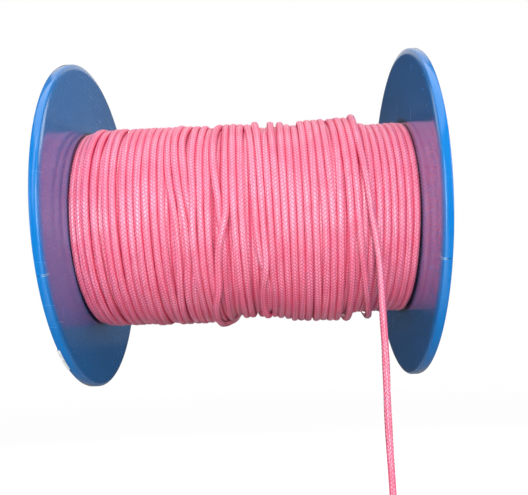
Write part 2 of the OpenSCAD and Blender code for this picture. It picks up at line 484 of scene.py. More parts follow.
def azure_plastic():
    """Glossy azure, cloudy in tone and faintly rippled, with dust and wear, painted shade by the
    cord and a painted highlight at the slit.
    """
    made, tree, shader = new_material(
        "glossy_azure_plastic", IOR=1.34, Coat_Weight=1.0, Coat_Roughness=0.14, Coat_IOR=1.34
    )
    point = object_point(tree)
    marks = marked(tree, point, 1.0)
    place = add_node(tree, "ShaderNodeSeparateXYZ", {"Vector": point}).outputs
    squares = [times(tree, place[axis], place[axis]) for axis in "YZ"]
    radius = maths(tree, "SQRT", maths(tree, "ADD", *squares))
    out = maths(tree, "SUBTRACT", maths(tree, "ABSOLUTE", place["X"]), INNER_FACE_X * MM)

    at_corner = times(
        tree, over(tree, radius, FLANGE_R - CORNER_WORN_DOWN, FLANGE_R),
        over(tree, out, RIM_W - CORNER_WORN_ACROSS, RIM_W),
    )
    patches = noise(tree, point, WORN_PATCHES, detail=4.0, roughness=0.7)
    worn = times(tree, at_corner, span(tree, patches, *WORN_EDGE))
    # Painted shade: the inner face darkens within the winding's radius, fading out just above it
    cord_shade = times(
        tree, over(tree, radius, CORD_SHADE_TO, CORD_SHADE_TO + CORD_SHADE_FADES, 1.0, 0.0),
        over(tree, out, 0.0, CORD_SHADE_DEEP, 1.0, 0.0),
    )
    grain = span(tree, noise(tree, point, DUST_GRAINS, detail=2.0, roughness=0.6), *DUST_EDGE)
    dust = times(tree, grain, over(tree, out, *DUST_STOPS, DUST_SHARE, 0.0))

    slit_side = Vector((0, -cos(radians(SLIT_ANGLE)), -sin(radians(SLIT_ANGLE))))
    slit_foot = FLANGE_R - SLIT_DEPTH
    off_slit = add_node(
        tree, "ShaderNodeVectorMath", {0: point, 1: slit_side}, operation="DOT_PRODUCT"
    ).outputs["Value"]
    # Painted highlight: the azure is paled in a thin line at the slit's foot, on the front half
    slit_highlight = times(
        tree, over(tree, maths(tree, "ABSOLUTE", off_slit), *LIP_WIDE, 1.0, 0.0),
        times(tree, over(tree, out, *LIP_DEEP, 1.0, 0.0),
              over(tree, radius, slit_foot - LIP_FADES, slit_foot + LIP_FADES)),
    )
    in_front = maths(tree, "LESS_THAN", place["Y"], 0.0)

    colour = blended(tree, noise(tree, point, TONE_CLOUDS), AZURE_DEEP, AZURE_LIGHT)
    # The cord's painted shade and the slit's painted highlight are laid on here with the dust,
    # wear, scratches and specks
    for share, laid_on in (
        (cord_shade, AZURE_CORD_SHADE),
        (dust, AZURE_DUSTY),
        (times(tree, times(tree, slit_highlight, in_front), SLIT_HIGHLIGHT_SHARE), SLIT_HIGHLIGHT),
        (times(tree, worn, WORN_SHARE), AZURE_WORN),
        (times(tree, marks["Hairlines"], SCRATCH_SHARE), AZURE_WORN),
        (times(tree, marks["Specks"], SPECK_SHARE), AZURE_SPECK),
    ):
        colour = blended(tree, share, colour, laid_on)
    hazy = span(tree, marks["Haze"], 0.0, 1.0, *AZURE_ROUGH)
    dulled = maths(tree, "ADD", hazy, times(tree, worn, WORN_DULLS))
    scratched = times(tree, marks["Hairlines"], SCRATCH_DULLS)
    ripple = noise(tree, point, RIPPLES, detail=2.0, roughness=0.4)
    scored = maths(tree, "SUBTRACT", ripple, times(tree, marks["Hairlines"], SCRATCH_DEPTH))
    wire(
        tree, shader, Base_Color=colour, Normal=bumped(tree, scored, RIPPLE_DEPTH),
        Roughness=maths(tree, "ADD", dulled, scratched, clamp=True),
    )
    return made


azure = azure_plastic()
for flange_name, flange_side in (("left_flange", -1), ("right_flange", 1)):
    flange = moulded_flange(flange_name + "_moulding", flange_side)
    dress(flange, azure)
    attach(flange, "root")
    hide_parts(flange_name)

# ---- Cord -------------------------------------------------------------------------------
# A round line braided from polyester yarn on eight half columns, slanting by turns to each
# side. It is a limp cord 3 mm across, and on the spool the turns squeeze each other flat.

CORD_D = 3.0
HALF_COLUMNS = 8
COLUMN_SIDES = 2
SIDES = COLUMN_SIDES * HALF_COLUMNS
PICK = 1.6
RINGS_PER_PICK = 4
RING_STEP = PICK / RINGS_PER_PICK
PICK_SLANT = 0.6
TWISTS = ((0.9, 410.0), (0.7, 173.0))
SQUARED = 0.2
CALM_RINGS = 8

# How the picks stand out: the relief in millimetres, and in shares of it the swell of a
# column's middle and the groove beside it. A sealed end is rounded off over a few rings.
RELIEF = 0.12
SWELL_POWER = 0.6
SWELL_FOOT = 0.6
GROOVE = -0.8
SEALED_RINGS = 3.2
SEALED_BLUNT = 0.4

# How far up and down its sides the cord takes a painted shade, deeper in colour, as a share of its
# radius, where it touches the earlier turn and the later one
EARLIER_FLANK = 0.5
LATER_FLANK = 0.75
FLANK_BLUR = 0.4

# Painted shade in the gaps between picks, the cord's own pink, and a painted highlight on each
# pick's crown
CORD_PICK_SHADE = (0.42, 0.04, 0.12, 1)
CORD_PINK = (0.85, 0.072, 0.178, 1)
CORD_CROWN_HIGHLIGHT = (0.91, 0.285, 0.42, 1)
# Painted shade on the flanks where turns touch
CORD_FLANK_SHADE = (0.88, 0.045, 0.155, 1)
FLANK_SHADE_SHARE = 0.9
COLUMN_FLATNESS = 0.45
PICK_FLATNESS = 0.8
CROWN_NARROWING = 1.6
YARNS_PER_PICK = 5
YARN_RELIEF = 0.06
BRAID_DEPTH = 0.2
BRAID_ROUGH = (0.5, 0.34)
# Clouds in which the painted crown highlight, and the gloss on it, is stronger or weaker
CROWN_SHEEN_CLOUDS = 60.0
CROWN_SHEEN_EDGE = (0.35, 0.65)
CROWN_SHEEN_RANGE = (0.6, 1.0)


def smooth(t):
    t = np.clip(t, 0.0, 1.0)
    return t * t * (3 - 2 * t)


def bell(t):
    return np.where(np.abs(t) < 1, (1 + np.cos(pi * np.clip(t, -1, 1))) / 2, 0.0)


def spaced_out(points, beside, step):
    """A course and what goes along with it, with a ring of the braid every step."""
    along = np.concatenate([[0], np.cumsum(np.linalg.norm(np.diff(points, axis=0), axis=1))])
    places = np.arange(int(along[-1] / step) + 1) * step
    return tuple(
        np.stack([np.interp(places, along, column) for column in values.T], axis=1)
        for values in (points, beside)
    )


def between(values, places):
    """Values of a course at places between its rings."""
    low = np.minimum(np.floor(places).astype(int), len(values) - 2)
    share = (places - low)[..., None]
    return values[low] * (1 - share) + values[low + 1] * share


def braided_tube(name, course, beside, first, last, stride=1, sealed=False):
    """A tube of braid on some rings of a course in millimetres, its UV map laid along it.

    beside holds the outward direction, the half widths to the left and the right, and how
    closely each side touches its neighbour. The rings zigzag with the slant of the picks,
    and each half column's middle rises once a pick, by turns with its neighbours. A course
    with a longer stride stays smooth.
    """
    place = np.arange(SIDES)
    odd = place // COLUMN_SIDES % 2
    across = place % COLUMN_SIDES / COLUMN_SIDES - 0.5
    ring = np.arange(first, last + 1)[:, None] * np.ones(SIDES)
    to_end = len(course) - 1 - ring
    at_ends = np.clip(np.minimum(ring, to_end) / CALM_RINGS, 0, 1)
    zigzag = (2 * odd - 1) * across * PICK_SLANT * RINGS_PER_PICK / stride
    at = ring + zigzag * at_ends
    picks = at * stride / RINGS_PER_PICK
    along = between(np.gradient(course, axis=0), at)
    others = between(beside, at)
    side = np.cross(along, others[..., :3])
    side /= np.linalg.norm(side, axis=-1, keepdims=True)
    up = np.cross(side, along)
    up /= np.linalg.norm(up, axis=-1, keepdims=True)

    swell = np.abs(np.cos(pi * (ring * stride / RINGS_PER_PICK + 0.5 * odd))) ** SWELL_POWER
    relief = RELIEF if stride == 1 else 0.0
    radius = 1 + relief / (CORD_D / 2) * np.where(across > -0.5, swell - SWELL_FOOT, GROOVE)
    if sealed:
        radius *= np.sqrt(np.clip((to_end + SEALED_BLUNT) / SEALED_RINGS, 0, 1))
    twist = sum(reach * np.sin(2 * pi * picks * PICK / length) for reach, length in TWISTS)
    turn = 2 * pi * place / SIDES + twist
    left = np.sin(turn) > 0
    half = np.where(left, others[..., 3], others[..., 4])
    touching = np.where(left, others[..., 5], others[..., 6])
    # Where the cord's sides take the painted shade, between touching turns
    flank = np.where(left, EARLIER_FLANK, LATER_FLANK) - np.abs(np.cos(turn))
    flank = touching * smooth(flank / FLANK_BLUR)
    flatter = np.sqrt(CORD_D / 2 / others[..., 3:5].mean(axis=-1))
    wide, high = (
        wave * np.abs(wave) ** (-SQUARED * touching) for wave in (np.sin(turn), np.cos(turn))
    )
    wide = (radius * half * wide)[..., None] * side
    high = (radius * CORD_D / 2 * flatter * high)[..., None] * up
    points = between(course, at) + wide + high

    rings = last - first + 1
    start = np.arange(rings - 1)[:, None] * SIDES
    after = (place + 1) % SIDES
    quads = np.stack(
        [start + place, start + after, start + SIDES + after, start + SIDES + place], axis=-1
    )
    faces = quads.reshape(-1, 4).tolist()
    faces.append(list(range(SIDES - 1, -1, -1)))
    faces.append(list(range((rings - 1) * SIDES, rings * SIDES)))
    mesh = bpy.data.meshes.new(name)
    mesh.from_pydata((points.reshape(-1, 3) * MM).tolist(), [], faces)
    lay_u = np.stack([picks[:-1], picks[:-1][:, after], picks[1:][:, after], picks[1:]], axis=-1)
    lay_v = np.stack([place, place + 1, place + 1, place], axis=-1) / COLUMN_SIDES
    lay_v = lay_v * np.ones((rings - 1, 1, 1))
    on_caps = np.full((2 * SIDES, 2), 0.5)
    lay = np.concatenate([np.stack([lay_u, lay_v], axis=-1).reshape(-1, 2), on_caps])
    mesh.uv_layers.new(name="lay").data.foreach_set("uv", lay.astype(np.float32).ravel())
    flanks = mesh.attributes.new("flank", "FLOAT", "POINT")
    flanks.data.foreach_set("value", flank.astype(np.float32).ravel())
    mesh.shade_smooth()
    made = bpy.data.objects.new(name, mesh)
    bpy.context.scene.collection.objects.link(made)
    return made


def braid_finish():
    """The braid from its lay: picks slanting by turns, and the masks that paint a highlight on
    each crown and shade between picks.
    """
    tree, given, ends = new_group(
        "braided_yarn",
        {"Lay": "NodeSocketVector"},
        {"Pick": "NodeSocketFloat", "Crown": "NodeSocketFloat", "Height": "NodeSocketFloat"},
    )
    lay = add_node(tree, "ShaderNodeSeparateXYZ", {"Vector": given.outputs["Lay"]})
    column = maths(tree, "FLOOR", lay.outputs["Y"])
    across = maths(tree, "SUBTRACT", maths(tree, "FRACT", lay.outputs["Y"]), 0.5)
    odd = maths(tree, "MODULO", column, 2.0)
    hand = maths(tree, "MULTIPLY_ADD", odd, -2.0, 1.0)
    slanted = times(tree, times(tree, hand, across), PICK_SLANT)
    staggered = maths(tree, "MULTIPLY_ADD", odd, 0.5, lay.outputs["X"])
    phase = maths(tree, "ADD", staggered, slanted)
    beside = maths(tree, "SUBTRACT", maths(tree, "FRACT", maths(tree, "ADD", phase, 0.5)), 0.5)
    over_pick, over_column = (
        maths(tree, "COSINE", times(tree, offset, pi), clamp=True) for offset in (beside, across)
    )
    flat = maths(tree, "POWER", over_column, COLUMN_FLATNESS)
    pick, crown = (
        times(tree, maths(tree, "POWER", over_pick, power), flat)
        for power in (PICK_FLATNESS, CROWN_NARROWING)
    )
    yarn = maths(tree, "COSINE", times(tree, beside, 2 * YARNS_PER_PICK * pi))
    height = maths(tree, "MULTIPLY_ADD", yarn, YARN_RELIEF, pick)
    wire(tree, ends, Pick=pick, Crown=crown, Height=height)
    return tree


def braid_material():
    """The cord's finish, with painted shade on the flanks of turns that touch and between picks,
    and a painted highlight on each crown.
    """
    made, tree, shader = new_material(
        "pink_braid", IOR=1.55, Specular_IOR_Level=1.0, Coat_Roughness=0.3, Coat_IOR=1.6,
        Subsurface_Weight=0.45, Subsurface_Scale=0.003, Subsurface_Radius=(1.0, 0.2, 0.25),
    )
    lay = add_node(tree, "ShaderNodeUVMap", uv_map="lay").outputs["UV"]
    yarn = add_node(tree, "ShaderNodeGroup", {"Lay": lay}, node_tree=braid_finish()).outputs
    # Painted shade between picks and a painted highlight on each crown, stronger or weaker in
    # clouds
    crown_sheen = span(tree, noise(tree, object_point(tree), CROWN_SHEEN_CLOUDS, detail=2.0), *CROWN_SHEEN_EDGE)
    body = blended(tree, yarn["Pick"], CORD_PICK_SHADE, CORD_PINK)
    bright = times(tree, yarn["Crown"], span(tree, crown_sheen, 0.0, 1.0, *CROWN_SHEEN_RANGE))
    crowned = blended(tree, bright, body, CORD_CROWN_HIGHLIGHT)
    # Painted shade: deeper colour on the flanks of turns that touch
    flank = add_node(tree, "ShaderNodeAttribute", attribute_name="flank").outputs["Fac"]
    wire(
        tree, shader,
        Base_Color=blended(tree, times(tree, flank, FLANK_SHADE_SHARE), crowned, CORD_FLANK_SHADE),
        Roughness=span(tree, yarn["Crown"], 0.0, 1.0, *BRAID_ROUGH),
        Coat_Weight=bright,
        Normal=bumped(tree, yarn["Height"], BRAID_DEPTH),
    )
    return made


pink_braid = braid_material()


def as_cord(piece, *nodes):
    piece.data.materials.append(pink_braid)
    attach(piece, "root")
    if nodes:
        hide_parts(*nodes)
    return piece


# ---- Inner layers -----------------------------------------------------------------------
# The layers of cord under the two that show, which fill the spool from the barrel up. Only
# glimpses of them are seen between the turns, so they are one ribbed drum.

INNER_R = 31.8
DRUM_R = 40.2
DRUM_RIDGE = 0.9
DRUM_PITCH = 3.3
DRUM_STEPS = 72
RIDGE_SIDES = 4
SIDE_GAP = 0.5


def inner_layers():
    half = INNER_FACE_X - SIDE_GAP
    sides = RIDGE_SIDES * int(2 * half / DRUM_PITCH)
    crest = [
        (-half + 2 * half * step / sides, DRUM_R + DRUM_RIDGE * abs(sin(pi * step / RIDGE_SIDES)))
        for step in range(sides + 1)
    ]
    shape = spun([(half, INNER_R), (-half, INNER_R)] + crest, DRUM_STEPS)
    drum = mesh_object("inner_layers", shape, smooth_under=60)
    drum.data.uv_layers.new(name="lay")
    return drum


as_cord(inner_layers(), "winding_core")

# ---- Layer below ------------------------------------------------------------------------
# The cord's next to last layer, wound from the right flange to the left. Its first turns
# show beside the right flange, where the top layer stops short.

TURN_STEPS = 130
LOWER_R = 43.1
LOWER_PITCH = 3.03
LOWER_FIRST_X = 70.7
LOWER_FIRST_ANGLE = 250
LOWER_FLAT = 0.56
LOWER_TURNS = 47.2
LOWER_SHOWN = 8.0
LOWER_STRIDE = 5
DIVE = 3.0
DIVE_TURNS = 0.25
WINDING_SEED = 11

# How far the winding hangs slack underneath, and how it bulges on top: the place along the
# axis and the change in radius, in millimetres, then the angle of the middle and the reach
SLACK_UNDER = [(-72, 0), (-58, 0.3), (-40, 0.6), (-26, 0.7), (-14, 0.2), (-5, -0.7), (4, -1.7),
               (7, -2.1), (11, -1.5), (14, -0.6), (21, 1.1), (29, 1.7), (44, 1.9), (47, 0.2),
               (52, 0)]
BULGE_OVER = [(-72, -0.6), (-64, 0), (28, 0.1), (38, 0.8), (46, 1.1), (49, 1.1), (52, 0),
              (57, -0.9), (72, -0.9)]
SLACK_REACH = 75
BULGE_ANGLE = 5
BULGE_REACH = 85

# The slow waver of the lower layer, sideways and outwards: its reach in steps of a turn and
# its size. Then the sweeps of settling and a turn's width and height once it has settled.
LOWER_ASIDE = (60, 0.22)
LOWER_IN_OUT = (40, 0.12)
LOWER_SWEEPS = 60
LOWER_SETTLED = (2.95, 2.6)

# Settling: how many turns apart two may push each other, the shares of an overlap that one
# sweep takes away sideways and upwards, where turns side by side give way to turns stacked,
# and the pull of each turn to its own place and to a straight run
COMPARED = (1, 2, 3)
PUSH = 0.5
PUSH_SLOPE = 1.6
PUSH_FROM = 0.3
LIFT = 0.6
LIFT_MOST = 1.0
LIFT_ENDS = 1.15
PULL_X = 0.03
PULL_R = 0.06
STRAIGHTEN = 0.25

# A turn's half widths, squeezed and free, and over which steps and levels between two turns
# they let go, stack, or leave an open valley between them: where it starts and its width
NARROWEST = 1.38
WIDEST = 1.76
RELAXED = 1.56
PRESSED_IN = 0.03
STEP_FREE = (3.5, 0.6)
LEVEL_FREE = (0.8, 0.5)
STEP_STACKED = (2.7, 0.3)
STEP_OPEN = (5.2, 1.4)
WIDTH_BLUR = 5
FLANGE_GAP = 0.05

random = np.random.default_rng(WINDING_SEED)


def uneven(x, angle):
    """What the winding's slack and bulges add to a turn's radius at an angle."""
    under = np.interp(x, *zip(*SLACK_UNDER)) * bell((angle % 360 - 180) / SLACK_REACH)
    from_bulge = (angle + 180) % 360 - (180 + BULGE_ANGLE)
    over_top = np.interp(x, *zip(*BULGE_OVER)) * bell(from_bulge / BULGE_REACH)
    return under + over_top


def wander(count, reach, amount):
    """A slow random waver along the cord, smoothed over reach steps."""
    raw = random.normal(size=count + 4 * reach)
    window = np.hanning(2 * reach + 1)
    waved = np.convolve(raw, window / sqrt((window ** 2).sum()), mode="same")
    return amount * waved[2 * reach:2 * reach + count]


def settle(wanted_x, wanted_r, sweeps, wide, high):
    """Lets neighbouring turns push each other aside, or the later one climb on the earlier.

    Turns are compared at the same angle round the spool.
    """
    x, radius = wanted_x.copy(), wanted_r.copy()
    for _ in range(sweeps):
        for turns in COMPARED:
            lag = turns * TURN_STEPS
            step_x = x[lag:] - x[:-lag]
            step_r = radius[lag:] - radius[:-lag]
            apart = np.sqrt((step_x / wide) ** 2 + (step_r / high) ** 2)
            overlap = np.clip(1 - apart, 0, 1)
            beside = smooth(np.abs(step_x) / wide * PUSH_SLOPE - PUSH_FROM)
            aside = PUSH * overlap * wide * np.sign(step_x) * beside
            x[lag:] += 0.5 * aside
            x[:-lag] -= 0.5 * aside
            clear = high * np.sqrt(np.clip(1 - (step_x / wide) ** 2, 0, 1))
            climb = np.clip(radius[:-lag] + clear - radius[lag:], 0, LIFT_MOST)
            radius[lag:] += LIFT * climb * smooth(LIFT_ENDS - np.abs(step_x) / wide)
        x += PULL_X * (wanted_x - x)
        radius += PULL_R * (wanted_r - radius)
        for values in (x, radius):
            values[1:-1] += STRAIGHTEN * (values[2:] + values[:-2] - 2 * values[1:-1])
    return x, radius


def squeezed(x, radius):
    """What the neighbours do to a turn's later and earlier side.

    It gives the half widths of both sides, and how closely each touches its neighbour.
    """
    sides = np.tile([RELAXED, RELAXED, 0.0, 0.0], (len(x), 1))
    step = np.abs(x[TURN_STEPS:] - x[:-TURN_STEPS])
    level = np.abs(radius[TURN_STEPS:] - radius[:-TURN_STEPS])
    touching = np.clip(step / 2 + PRESSED_IN, NARROWEST, WIDEST)
    apart = np.maximum(
        smooth((step - STEP_FREE[0]) / STEP_FREE[1]),
        smooth((level - LEVEL_FREE[0]) / LEVEL_FREE[1]),
    )
    apart = np.maximum(apart, smooth((STEP_STACKED[0] - step) / STEP_STACKED[1]))
    half = touching + (RELAXED - touching) * apart
    sides[:-TURN_STEPS, 0] = sides[TURN_STEPS:, 1] = half
    closeness = smooth((STEP_OPEN[0] - step) / STEP_OPEN[1])
    sides[:-TURN_STEPS, 2] = sides[TURN_STEPS:, 3] = closeness
    window = np.hanning(2 * WIDTH_BLUR + 1)
    window = window / window.sum()
    for column in sides.T:
        column[WIDTH_BLUR:-WIDTH_BLUR] = np.convolve(column, window, mode="valid")
    return sides


def wound_course(x, radius, angle, later_left):
    """A layer's points, and what the braid needs beside them."""
    turn = np.radians(angle)
    points = np.stack([x, -radius * np.sin(turn), radius * np.cos(turn)], axis=1)
    outwards = np.stack([np.zeros_like(turn), -np.sin(turn), np.cos(turn)], axis=1)
    sides = squeezed(x, radius)
    if not later_left:
        sides = sides[:, [1, 0, 3, 2]]
    return points, np.concatenate([outwards, sides], axis=1)


def lower_layer():
    turn = np.arange(int(LOWER_TURNS * TURN_STEPS)) / TURN_STEPS
    angle = LOWER_FIRST_ANGLE + 360 * turn
    wanted_x = LOWER_FIRST_X - LOWER_PITCH * np.maximum(turn - LOWER_FLAT, 0)
    wanted_r = LOWER_R - DIVE * (1 - smooth(turn / DIVE_TURNS))
    wanted_r = wanted_r + np.minimum(uneven(wanted_x, angle), 0)
    wanted_x = wanted_x + wander(len(turn), *LOWER_ASIDE) * smooth(turn - LOWER_FLAT)
    wanted_r = wanted_r + wander(len(turn), *LOWER_IN_OUT)
    x, radius = settle(wanted_x, wanted_r, LOWER_SWEEPS, *LOWER_SETTLED)
    limit = INNER_FACE_X - RELAXED - FLANGE_GAP
    return wound_course(np.clip(x, -limit, limit), radius, angle, later_left=True)


lower_course, lower_beside = spaced_out(*lower_layer(), RING_STEP)
shown_rings = int(LOWER_SHOWN * 2 * pi * LOWER_R / RING_STEP)
as_cord(braided_tube("layer_below_end", lower_course, lower_beside, 0, shown_rings))
plain_course, plain_beside = lower_course[::LOWER_STRIDE], lower_beside[::LOWER_STRIDE]
as_cord(braided_tube(
    "layer_below", plain_course, plain_beside,
    shown_rings // LOWER_STRIDE, len(plain_course) - 1, LOWER_STRIDE,
))

# ---- Top layer --------------------------------------------------------------------------
# The last layer, wound by hand from the left flange to the right in 36 turns. They lie side
# by side, but slack ones wander, cross their neighbours and hang in loops under the spool.
# The cord comes up the back, over the top and down the front.

TOP_R = 45.0
TURN_PITCH = 3.35
TAKE_OFF_X = 51.5
END_SLANT = 1.6
END_LIFT = 1.4
END_LIFT_AT = 1.1
END_LIFT_TURNS = 0.35
FIRST_BACK = 36.6
LOW_START = (36.2, 34.2)
LOW_R = 43.5
UNEVEN_FROM = (1, 0.3)
CALM_TURNS = 0.5
TOP_ASIDE = ((55, 0.4), (18, 0.16))
TOP_IN_OUT = (30, 0.18)
TOP_SWEEPS = 90
TOP_SETTLED = (3.1, 2.7)

# Strays: the turn, counted back from the take-off, where it strays most, the degrees on
# each side over which it does so, and how far sideways and outwards, in millimetres
STRAYS = [
    (0, 42, 60, -3.0, 0.0),
    (0, 0, 70, 0.6, 0.8),
    (1, 197, 100, 8.6, 0.3),
    (1, 60, 80, -0.6, 0.0),
    (2, 185, 60, 0.6, 0.5),
    (6, 90, 110, -0.9, 0.0),
    (7, 90, 100, -1.0, 0.0),
    (8, 15, 50, 0.0, -2.8),
    (9, 15, 50, 0.6, -1.8),
    (12, 15, 50, 0.3, -3.2),
    (13, 15, 45, -1.2, 0.5),
    (12, 110, 90, 1.1, 0.0),
    (13, 110, 90, 1.2, 0.0),
    (14, 145, 55, 5.7, 0.4),
    (14, 90, 50, 0.5, 0.0),
    (14, 15, 45, -1.6, -0.6),
    (15, 15, 45, -1.0, -0.5),
    (17, 155, 66, -8.4, 0.9),
    (17, 112, 30, -1.6, 0.6),
    (17, 182, 30, -2.2, 2.0),
    (18, 140, 60, 0.6, -1.0),
    (18, 52, 40, -2.6, 0.6),
    (18, 100, 35, 1.8, 0.3),
    (19, 10, 60, 0.0, -3.0),
    (19, 95, 100, -0.8, 0.0),
    (19, 150, 60, -1.2, -0.3),
    (20, 95, 100, -1.4, 0.0),
    (21, 95, 100, -0.8, 0.0),
    (22, 50, 45, -2.4, 0.0),
    (22, 105, 60, 3.0, 0.2),
    (23, 50, 45, -3.2, 0.7),
    (23, 105, 60, 3.8, 0.6),
    (24, 55, 40, -1.4, -0.4),
    (24, 108, 50, 3.0, -0.6),
    (25, 90, 100, 0.4, 0.0),
    (26, 90, 100, 0.2, 0.0),
    (29, 100, 60, 0.8, 0.0),
    (32, 95, 140, -0.5, 0.0),
    (33, 95, 140, -1.2, 0.0),
    (34, 95, 140, -1.4, 0.0),
    (35, 95, 140, -1.0, 0.0),
]


def top_layer():
    back = np.arange(int(FIRST_BACK * TURN_STEPS), -1, -1) / TURN_STEPS
    angle = 90 - 360 * back
    wanted_x = TAKE_OFF_X - TURN_PITCH * back - END_SLANT * smooth(back)
    wanted_r = TOP_R + END_LIFT * smooth((END_LIFT_AT - back) / END_LIFT_TURNS)
    wanted_r += uneven(wanted_x, angle) * smooth((back - UNEVEN_FROM[0]) / UNEVEN_FROM[1])
    low = smooth((back - LOW_START[1]) / (LOW_START[0] - LOW_START[1]))
    wanted_r = wanted_r + (LOW_R - wanted_r) * low
    wanted_r -= DIVE * (1 - smooth((FIRST_BACK - back) / DIVE_TURNS))
    for turn, at, reach, sideways, outwards in STRAYS:
        share = bell((back - (turn - (at - 90) / 360)) * 360 / reach)
        wanted_x = wanted_x + sideways * share
        wanted_r = wanted_r + outwards * share
    calm = smooth(back / CALM_TURNS)
    wanted_x = wanted_x + calm * sum(wander(len(back), *waver) for waver in TOP_ASIDE)
    wanted_r = wanted_r + calm * wander(len(back), *TOP_IN_OUT)
    x, radius = settle(wanted_x, wanted_r, TOP_SWEEPS, *TOP_SETTLED)
    x = np.maximum(x, -INNER_FACE_X + RELAXED + FLANGE_GAP)
    return wound_course(x, radius, angle, later_left=False)


top_points, top_beside = top_layer()

# ---- Loose end --------------------------------------------------------------------------
# The cord leaves the front of the winding about level with the axis, and its last 130 mm
# hang free. The end is cut hot, so the yarns are melted together.

CORD_EXIT = (TAKE_OFF_X, -(TOP_R + END_LIFT), -CORD_D)
FREE_ROUTE = [
    (0, 0, 0), (0, 0, -3), (0.5, 0, -6), (1.2, 0, -10), (1.8, 0, -15),
    (2.3, 0, -20), (2.6, 0, -26), (2.7, 0, -34), (2.7, 0, -44), (2.9, 0, -54),
    (2.9, 0, -66), (2.7, 0, -78), (2.7, 0, -90), (2.9, 0, -102), (3.2, 0, -114),
    (3.3, 0, -127), (3.3, 0, -130),
]
FREE_STEP = 2.0
JOIN_STEPS = TURN_STEPS // 12
EASED_PASSES = 8
WIDTHS_EASED_STEPS = 20
WIDTHS_EASED_PASSES = 40
TOP_PIECES = 5


def eased(points, passes, first=1):
    """Rounds a course's corners without moving its ends."""
    points = points.copy()
    for _ in range(passes):
        bend = points[first + 1:] + points[first - 1:-2] - 2 * points[first:-1]
        points[first:-1] += 0.25 * bend
    return points


free_route = np.array(FREE_ROUTE, float) + np.array(CORD_EXIT)
free_points, _ = spaced_out(free_route, free_route, FREE_STEP)
free_beside = np.tile([[0, -1, 0, CORD_D / 2, CORD_D / 2, 0, 0]], (len(free_points), 1))
whole_beside = np.concatenate([top_beside, free_beside])
join = len(top_points) - JOIN_STEPS
whole_points = eased(np.concatenate([top_points, free_points]), EASED_PASSES, join)
whole_beside[:, 3:] = eased(
    whole_beside[:, 3:], WIDTHS_EASED_PASSES, join - WIDTHS_EASED_STEPS
)
course, beside = spaced_out(whole_points, whole_beside, RING_STEP)
exit_ring = int(np.argmin(np.linalg.norm(course - np.array(CORD_EXIT), axis=1)))

cuts = [round(exit_ring * piece / TOP_PIECES) for piece in range(TOP_PIECES + 1)]
for piece, (first, last) in enumerate(zip(cuts, cuts[1:])):
    as_cord(braided_tube(f"top_layer_{piece + 1}", course, beside, first, last), "cord_winding")

free_end = as_cord(
    braided_tube("loose_end", course, beside, exit_ring, len(course) - 1, sealed=True),
    "cord_free_end",
)

# ---- Label ------------------------------------------------------------------------------
# A plain slip of white paper, stuck on the outer side of the left flange, up its rim and
# over the edge. It is blank, and slightly creased where it is folded.

PAPER_T = 0.2
PAPER_GAP = 0.05
LABEL_ANGLE = 138.5
LABEL_SWEEP = 10.5
LABEL_REACH = 18.0
LABEL_RELAXES = 6
LABEL_FOLD = 1.1
FOLD_INSIDE = 0.2
FOLD_OUTSIDE = 0.1
LABEL_STEPS = 20
PAPER_WHITE = (0.78, 0.79, 0.78, 1)
PAPER_SOILED = (0.58, 0.60, 0.61, 1)
PAPER_ROUGH = (0.55, 0.75)
PAPER_FIBRES = 1400.0
SOIL_CLOUDS = 130.0
SOIL_EDGE = (0.42, 0.68)
CREASES = 260.0
CREASE_HEIGHT = 3.0
PAPER_DEPTH = 0.1
PAPER_STRENGTH = 0.6


def paper_label():
    web_x = WEB_T + PAPER_GAP
    rim_x = RIM_W + PAPER_GAP
    step_r = FLANGE_R - RIM_T - PAPER_GAP
    edge_r = FLANGE_R + PAPER_GAP
    under = [
        (web_x, FLANGE_R - LABEL_REACH), (web_x, step_r - LABEL_RELAXES), (web_x, step_r),
        (rim_x, step_r), (rim_x, edge_r - FOLD_INSIDE), (rim_x - FOLD_INSIDE, edge_r),
        (RIM_W - LABEL_FOLD, edge_r),
    ]
    upper = [
        (RIM_W - LABEL_FOLD, edge_r + PAPER_T), (rim_x - FOLD_OUTSIDE, edge_r + PAPER_T),
        (rim_x + PAPER_T, edge_r - FOLD_OUTSIDE), (rim_x + PAPER_T, step_r - PAPER_T),
        (web_x + PAPER_T, step_r - PAPER_T), (web_x + PAPER_T, step_r - LABEL_RELAXES),
        (web_x + PAPER_T, FLANGE_R - LABEL_REACH),
    ]
    outline = [(-INNER_FACE_X - x, radius) for x, radius in under + upper]
    shape = spun(outline, LABEL_STEPS, LABEL_SWEEP, LABEL_ANGLE)
    return mesh_object("blank_label", shape, smooth_under=40)


def label_paper():
    made, tree, shader = new_material("white_label_paper", IOR=1.45)
    point = object_point(tree)
    fibres = noise(tree, point, PAPER_FIBRES, detail=4.0)
    soiled = span(tree, noise(tree, point, SOIL_CLOUDS, detail=4.0), *SOIL_EDGE)
    creases = noise(tree, point, CREASES)
    height = maths(tree, "MULTIPLY_ADD", creases, CREASE_HEIGHT, fibres)
    wire(
        tree, shader,
        Base_Color=blended(tree, soiled, PAPER_WHITE, PAPER_SOILED),
        Roughness=span(tree, fibres, *NOISE_SPREAD, *PAPER_ROUGH),
        Normal=bumped(tree, height, PAPER_DEPTH, PAPER_STRENGTH),
    )
    return made


label = paper_label()
dress(label, label_paper())
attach(label, "root")
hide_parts("paper_label")

# ---- Studio -----------------------------------------------------------------------------
# The spool hangs above a plain floor, pale in a patch in front and dim elsewhere,
# in a pale room with a dark cloth behind. A large soft lamp hangs above, a tall narrow one
# stands in front, and weaker ones all round. Seen straight, floor and room are white.

